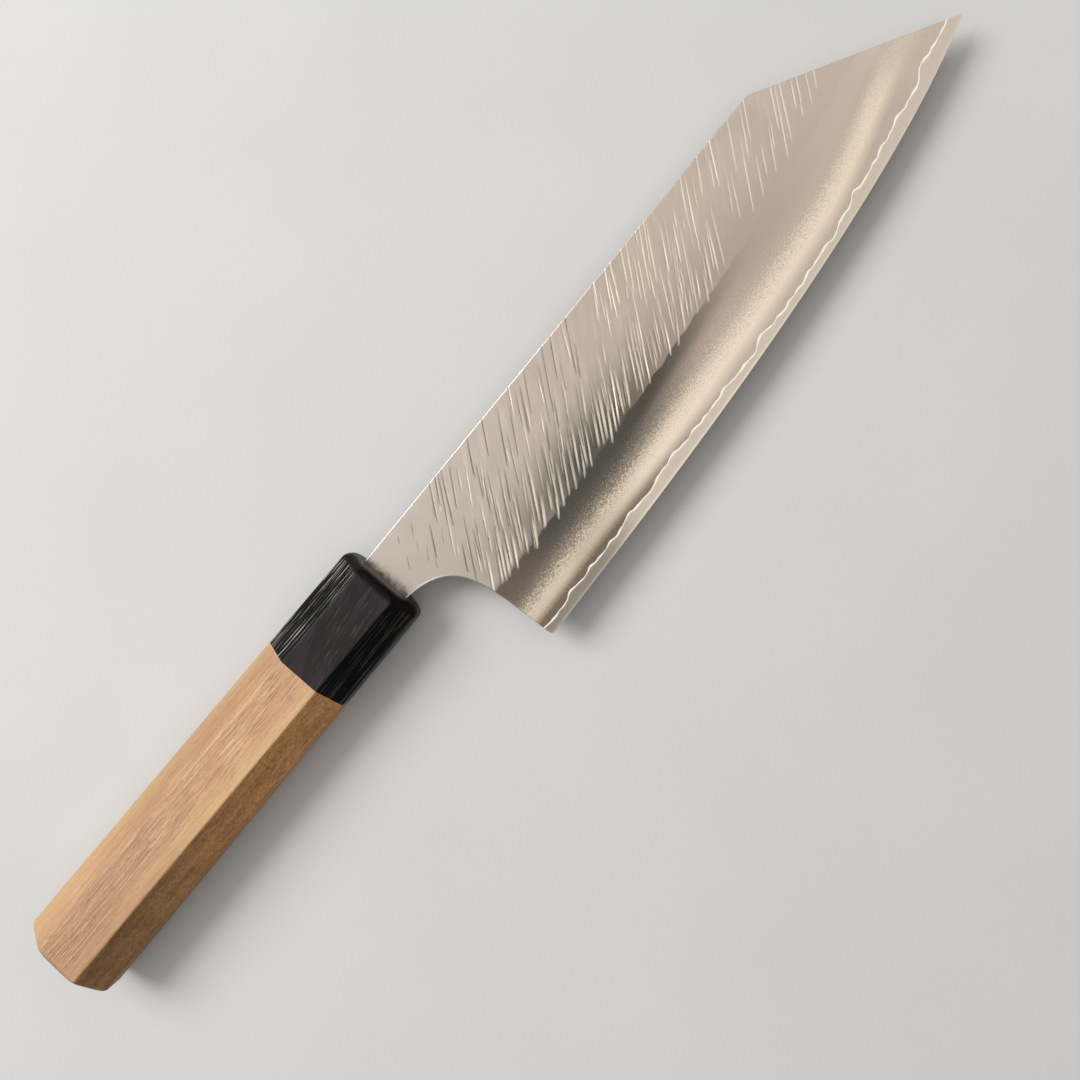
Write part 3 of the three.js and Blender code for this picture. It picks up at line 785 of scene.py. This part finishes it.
mouth = (NECK_HEIGHT + 2 * FIT_GAP, SPINE_AT_NECK + 2 * FIT_GAP)
ferrule_rings = [
    octagon(-FERRULE_LENGTH),
    *rounded_end(0, FERRULE_ROUND, 1, FRONT_CREASE),
    slot_loop(0, *mouth),
    slot_loop(-MOUTH_DEPTH, *mouth),
    circle(-MOUTH_DEPTH, BORE),
    circle(-FERRULE_LENGTH, BORE),
]
ferrule = piece("ferrule_finish", np.array(ferrule_rings), "ferrule_wood", ends=False)

ferrule_wood = Finish("ferrule_wood", Roughness=0.34, Specular_IOR_Level=0.1)
ferrule_plan = ferrule_wood.plan()
aside = ferrule_wood.math("ABSOLUTE", ferrule_plan["Y"])
on_bevel = ferrule_wood.fade(aside, 5.1, 5.8)
fibres = ferrule_wood.noise((22, 0.38, 0.38), 1, 0.5)
breaks = ferrule_wood.noise((4, 0.6, 0.6), 2, 0.5)
pits = ferrule_wood.noise((5, 0.2, 0.2), 2, 0.6)
threads = ferrule_wood.noise((7, 0.4, 0.4), 2, 0.6, 0.14)
blush = ferrule_wood.fade(ferrule_wood.noise((16, 3.4, 3.4), 3, 0.55, 0.2), 0.46, 0.7)

# Brown-black on top, lighter than the black bevels by a painted sheen, pale streaks on the bevels dimmed on
# the edge's side as painted shade, plain on the rounded front, a painted grey reflection of the blade at
# the slot.
top_tone = ferrule_wood.mix(blush, colour(40, 37, 36), colour(57, 46, 51))
threaded = ferrule_wood.fade(threads, 0.58, 0.74, 0, 0.6)
top_tone = ferrule_wood.mix(threaded, top_tone, colour(92, 84, 88))
pitted = ferrule_wood.fade(pits, 0.54, 0.68, 0, 0.7)
top_tone = ferrule_wood.mix(pitted, top_tone, colour(28, 26, 26))
ferrule_tone = ferrule_wood.mix(on_bevel, top_tone, colour(5, 5, 5))
# The bevel streaks are dimmed on the edge's side as painted shade.
streaked = ferrule_wood.times(
    ferrule_wood.fade(fibres, 0.56, 0.64),
    on_bevel,
    ferrule_wood.fade(breaks, 0.36, 0.56, 0.35, 1),
    ferrule_wood.fade(ferrule_plan["Y"], -6, 6, 0.17, 0.95),
)
ferrule_tone = ferrule_wood.mix(streaked, ferrule_tone, colour(158, 155, 147))
behind_round = ferrule_wood.fade(ferrule_plan["X"], -3, -1.8, 1, 0)
ferrule_tone = ferrule_wood.mix(behind_round, colour(14, 12, 11), ferrule_tone)
# The front face round the slot: a painted grey reflection of the blade.
painted_blade_reflection = ferrule_wood.times(
    ferrule_wood.fade(ferrule_plan["X"], -0.45, -0.1),
    ferrule_wood.fade(aside, 4.4, 8.2, 1, 0),
    ferrule_wood.fade(ferrule_wood.math("ABSOLUTE", ferrule_plan["Z"]), 4, 8.6, 1, 0.2),
)
ferrule_wood.give(
    ferrule,
    Base_Color=ferrule_wood.mix(painted_blade_reflection, ferrule_tone, colour(106, 101, 90)),
    Normal=ferrule_wood.bump(fibres, 0.015, ferrule_wood.bump(pits, 0.012)),
)

# Handle body
# Light walnut, planed to eight facets that swell towards the butt, with softened creases and a curved
# end. It is bored for the dowel and the tang, and oiled to a matt finish.
BUTT_ROUND = 1.5
BUTT_CREASE = 5.5
BUTT_DOME = 0.55
BUTT_CURVE = 0.28
BUTT_SLANT = 0.03
DOWEL_BACK = -58.05
TANG_HOLE_BACK = -89
TANG_HOLE = (9.99, 4.39)
DOME_SHARES = np.array([0.75, 0.5, 0.25, 0.02])

butt_x = -HANDLE_LENGTH + BUTT_DOME
butt_rings = rounded_end(butt_x, BUTT_ROUND, -1, BUTT_CREASE, BUTT_CURVE, BUTT_SLANT)
butt_middle = np.array([-HANDLE_LENGTH, 0, 0])
shrunk = butt_middle + DOME_SHARES[:, None, None] * (butt_rings[-1] - butt_middle)
shrunk[..., 0] += (DOME_SHARES**2 - DOME_SHARES)[:, None] * (butt_rings[-1] - butt_middle)[:, 0]
handle_rings = [
    slot_loop(TANG_HOLE_BACK, *TANG_HOLE),
    slot_loop(DOWEL_BACK, *TANG_HOLE),
    circle(DOWEL_BACK, BORE),
    circle(-FERRULE_LENGTH, BORE),
    octagon(-FERRULE_LENGTH),
    *butt_rings,
    *shrunk,
]
handle = piece("handle_body_finish", np.array(handle_rings)[:, ::-1], "handle_wood")

handle_wood = Finish("handle_wood", Roughness=0.6)
wood_plan = handle_wood.plan()
wood_forward, to_spine = wood_plan["X"], wood_plan["Y"]
cloud = handle_wood.noise((40, 5, 5), 3, 0.5)
bands = handle_wood.noise((80, 0.9, 0.9), 3, 0.55)
flecks = handle_wood.noise((13, 0.23, 0.23), 2, 0.5)
lines = handle_wood.noise((8, 0.25, 0.25), 2, 0.55)
pores = handle_wood.noise((1.6, 0.2, 0.2), 2, 0.5)
blotches = handle_wood.noise((9, 2.2, 2.2), 2, 0.5)
mottle = handle_wood.noise((1.1, 0.5, 0.5), 3, 0.6)

# The figure: a darker stripe that wanders along the handle, with bands, light flecks, lines and pores.
drift = handle_wood.times(handle_wood.noise((90, 30, 30), 2), 12)
from_heart = handle_wood.math("SUBTRACT", handle_wood.math("ADD", to_spine, drift), 9.2)
figured = handle_wood.fade(handle_wood.math("ABSOLUTE", from_heart), 2.6, 9.5, 1, 0)
by_bevel = handle_wood.fade(to_spine, 4.5, 7.5, 1, 0.6)
grained = handle_wood.times(handle_wood.fade(figured, 0, 1, 0.42, 1), by_bevel)
banded = handle_wood.fade(bands, 0.4, 0.66, 0, 0.46)
banded = handle_wood.times(banded, handle_wood.fade(figured, 0, 1, 0.4, 1))
flecked = handle_wood.times(handle_wood.fade(flecks, 0.52, 0.66, 0, 0.8), grained)
lined = handle_wood.times(handle_wood.fade(lines, 0.52, 0.64, 0, 0.72), grained)
dotted = handle_wood.times(handle_wood.fade(pores, 0.57, 0.68, 0, 0.6), grained)
clouded = handle_wood.fade(cloud, 0.35, 0.65)
wood_tone = handle_wood.mix(clouded, colour(199, 157, 114), colour(207, 167, 121))
for share, tone in (
    (handle_wood.times(figured, 0.58), colour(184, 140, 107)),
    (banded, colour(176, 130, 98)),
    (flecked, colour(230, 192, 150)),
    (lined, colour(152, 108, 78)),
    (dotted, colour(130, 92, 64)),
):
    wood_tone = handle_wood.mix(share, wood_tone, tone)

# The sides: painted shade greying the bevels to the spine and browning and darkening those to the edge,
# deeper at the crease, with blotches there; painted shade towards the butt, and darker end grain.
spine_side = handle_wood.fade(to_spine, 3.5, 8)
spine_side_painted_shade = handle_wood.times(spine_side, handle_wood.fade(wood_forward, -110, -82, 0.45, 1))
end_grain = handle_wood.fade(wood_forward, -122.8, -121.7, 1, 0)
edge_side_painted_shade = handle_wood.times(
    handle_wood.fade(to_spine, -6.2, -5, 1, 0), handle_wood.fade(end_grain, 0, 1, 1, 0)
)
by_butt = handle_wood.fade(wood_forward, -118, -50, 1, 0)
# Tints multiplied in turn: painted shade on the spine's bevels, darker end grain, painted shade on the
# edge's bevels and deeper by the crease, blotches and mottle there, and painted shade towards the butt.
for share, tint in (
    (spine_side_painted_shade, colour(235, 235, 233)),
    (end_grain, colour(222, 208, 192)),
    (edge_side_painted_shade, colour(255, 236, 196)),
    (handle_wood.times(handle_wood.fade(to_spine, -9.2, -6.4, 0, 0.3), edge_side_painted_shade), colour(178, 172, 166)),
    (handle_wood.times(handle_wood.fade(blotches, 0.38, 0.64), edge_side_painted_shade), colour(228, 226, 221)),
    (handle_wood.times(handle_wood.fade(mottle, 0.36, 0.68), edge_side_painted_shade), colour(208, 198, 186)),
    (handle_wood.times(by_butt, edge_side_painted_shade), colour(210, 210, 210)),
    (handle_wood.times(by_butt, handle_wood.fade(spine_side, 0, 1, 1, 0)), colour(236, 236, 240)),
):
    wood_tone = handle_wood.mix(share, wood_tone, tint, "MULTIPLY")
handle_wood.give(
    handle,
    Base_Color=wood_tone,
    Normal=handle_wood.bump(pores, -0.02, handle_wood.bump(lines, 0.015)),
)

# Dowel and tang bedding
# Hidden in the handle: a slotted hardwood dowel that joins ferrule and body, and the resin that was
# poured round the tang. Both are the frame's own solids.
dowel_wood = Finish("dowel_wood", Roughness=0.7)
dowel_grain = dowel_wood.noise((18, 0.5, 0.5), 3)
dowel_tone = dowel_wood.mix(dowel_grain, colour(196, 164, 118), colour(226, 200, 156))
dowel_wood.give(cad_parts["dowel"], Base_Color=dowel_tone, Normal=dowel_wood.bump(dowel_grain, 0.03))

bedding_resin = Finish("bedding_resin", Roughness=0.35)
resin_cloud = bedding_resin.noise((3, 3, 3), 3)
resin_tone = bedding_resin.mix(resin_cloud, colour(186, 160, 98), colour(214, 190, 132))
resin_skin = bedding_resin.bump(resin_cloud, 0.02)
bedding_resin.give(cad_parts["tang_bedding"], Base_Color=resin_tone, Normal=resin_skin)

# Floor
# A plain pale sheet of stone, lying along the lower facet of the handle. The sizes of floor and lamp are
# in metres.
FLOOR_REACH = 3
REST_IN = 0.0025

floor_slope = (BUTT_THICKNESS - FRONT_THICKNESS) / 2 / HANDLE_LENGTH
rest_x = cad_box[0][0] + REST_IN
spots = np.array([[-1, -1], [1, -1], [1, 1], [-1, 1]]) * FLOOR_REACH
floor_mesh = bpy.data.meshes.new("floor")
floor_mesh.from_pydata([(x, y, (x - rest_x) * floor_slope) for x, y in spots.tolist()], [], [(0, 1, 2, 3)])
floor = stand("floor", floor_mesh)
floor_stone = Finish("floor_stone", Roughness=1, Specular_IOR_Level=0.1)
stone_cloud = floor_stone.noise((60, 60, 60), 4)
stone_tone = floor_stone.mix(stone_cloud, colour(198, 197, 194), colour(207, 206, 203))
floor_stone.give(floor, Base_Color=stone_tone)

# Light
# One large soft lamp from the spine's side, and a room that is pale overhead and dim at the horizon.
LAMP_DISTANCE = 1.1
LAMP_WAY = np.array([-0.2, 0.66, 0.72])
LAMP_SIZE = 0.65
LAMP_POWER = 10.5
ROOM_POLE = np.array([0.14, 0.12, 0.98])
ROOM_FADE = {"From Min": 0.5, "From Max": 0.95, "To Min": 0.16, "To Max": 1}


def held(right, up, back, place):
    """The matrix of a lamp or a camera with these directions to its right, up and back, at a place."""
    return Matrix([*np.column_stack([right, up, back, place]).tolist(), [0, 0, 0, 1]])


lamp_data = bpy.data.lights.new("lamp", "AREA")
lamp_data.shape = "DISK"
lamp_data.size = LAMP_SIZE
lamp_data.energy = LAMP_POWER
lamp_back = LAMP_WAY / np.linalg.norm(LAMP_WAY)
lamp_right = np.cross([0, 0, 1], lamp_back)
lamp_right /= np.linalg.norm(lamp_right)
lamp_up = np.cross(lamp_back, lamp_right)
stand("lamp", lamp_data).matrix_world = held(lamp_right, lamp_up, lamp_back, lamp_back * LAMP_DISTANCE)

world = bpy.data.worlds.new("room")
bpy.context.scene.world = world
world.use_nodes = True
room = world.node_tree
background = room.nodes["Background"]
background.inputs["Color"].default_value = (1, 1, 1, 1)
overhead = room.nodes.new("ShaderNodeVectorMath")
overhead.operation = "DOT_PRODUCT"
overhead.inputs[1].default_value = ROOM_POLE / np.linalg.norm(ROOM_POLE)
room.links.new(room.nodes.new("ShaderNodeTexCoord").outputs["Generated"], overhead.inputs[0])
brightness = room.nodes.new("ShaderNodeMapRange")
brightness.interpolation_type = "SMOOTHSTEP"
for limit, value in ROOM_FADE.items():
    brightness.inputs[limit].default_value = value
room.links.new(overhead.outputs["Value"], brightness.inputs["Value"])
room.links.new(brightness.outputs[0], background.inputs["Strength"])

# Camera
# Held above the blade and looking almost straight down, turned so that the knife lies corner to corner.
CAMERA_PLACE = (51.78, -40.45, 303.3)
CAMERA_RIGHT = (0.64311, -0.76058, -0.08902)
CAMERA_UP = (0.76283, 0.64648, -0.01259)
CAMERA_BACK = (0.06713, -0.05981, 0.99595)
FOCAL_SHARE = 1271.06 / 1080
SENSOR_WIDTH = 36

camera_data = bpy.data.cameras.new("camera")
camera_data.sensor_width = SENSOR_WIDTH
camera_data.lens = SENSOR_WIDTH * FOCAL_SHARE
camera_data.clip_start = 0.01
camera_place = np.array(CAMERA_PLACE) * MM + plan_origin
camera = stand("camera", camera_data)
camera.matrix_world = held(CAMERA_RIGHT, CAMERA_UP, CAMERA_BACK, camera_place)
bpy.context.scene.camera = camera
bpy.context.scene.view_settings.view_transform = "Standard"
